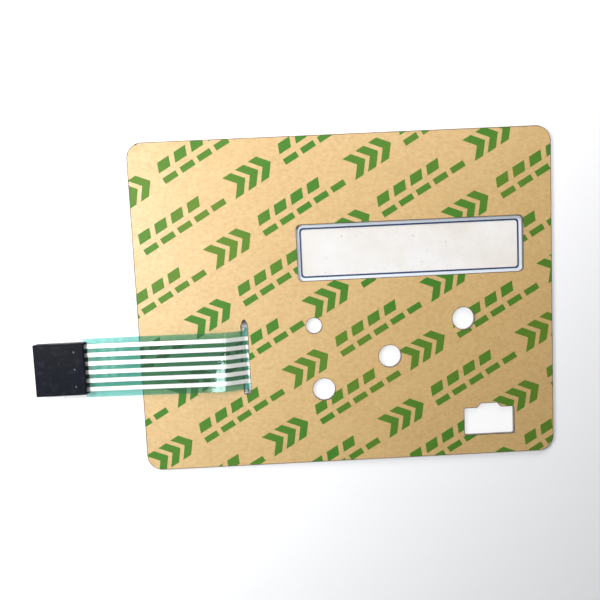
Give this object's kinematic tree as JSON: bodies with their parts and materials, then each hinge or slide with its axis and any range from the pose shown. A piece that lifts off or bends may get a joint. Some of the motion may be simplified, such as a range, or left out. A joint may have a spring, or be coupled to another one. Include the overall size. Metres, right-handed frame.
{
  "type": "membrane switch panel",
  "caption": "Flat laminated keypad panel with a display window, round holes and a jack cut-out, release liner on its back and a flexible tail with a crimped socket connector.",
  "frame": {"origin": "centre of the panel's front face, on the table", "axes": "+X along the panel away from the tail, +Y across it towards the display window, +Z out of the back"},
  "size_m": [0.1523, 0.096, 0.0031],
  "materials": {
    "clear_polyester": "clear polyester film, glossy",
    "navy_ink": "screen printed navy ink",
    "key_ink": "screen printed light ink",
    "white_ink": "screen printed pale ink",
    "clear_adhesive": "clear acrylic transfer adhesive",
    "spacer_film": "translucent white polyester sheet",
    "silver_ink": "printed silver flake ink seen through the film",
    "green_coat": "translucent green insulating ink",
    "kraft_paper": "coated kraft paper",
    "green_print": "green ink on the paper",
    "black_plastic": "moulded black thermoplastic, satin",
    "contact_metal": "plated copper alloy strip",
    "dome_steel": "thin stainless spring steel"
  },
  "bodies": {
    "root": {"graphic_overlay": "clear_polyester", "colour_print": "navy_ink", "key_print": "key_ink", "backing_print": "white_ink", "overlay_adhesive": "clear_adhesive", "dome_spacer": "spacer_film", "spacer_adhesive": "clear_adhesive", "circuit_film": "clear_polyester", "dielectric_coat": "green_coat", "rear_adhesive": "clear_adhesive", "release_liner": "kraft_paper", "liner_print": "green_print", "connector_housing": "black_plastic", "metal_dome_1": "dome_steel", "metal_dome_2": "dome_steel", "metal_dome_3": "dome_steel", "metal_dome_4": "dome_steel", "metal_dome_5": "dome_steel", "track_1": "silver_ink", "track_2": "silver_ink", "track_3": "silver_ink", "track_4": "silver_ink", "track_5": "silver_ink", "track_6": "silver_ink", "contact_1": "contact_metal", "contact_2": "contact_metal", "contact_3": "contact_metal", "contact_4": "contact_metal", "contact_5": "contact_metal", "contact_6": "contact_metal"}
  },
  "joints": []
}
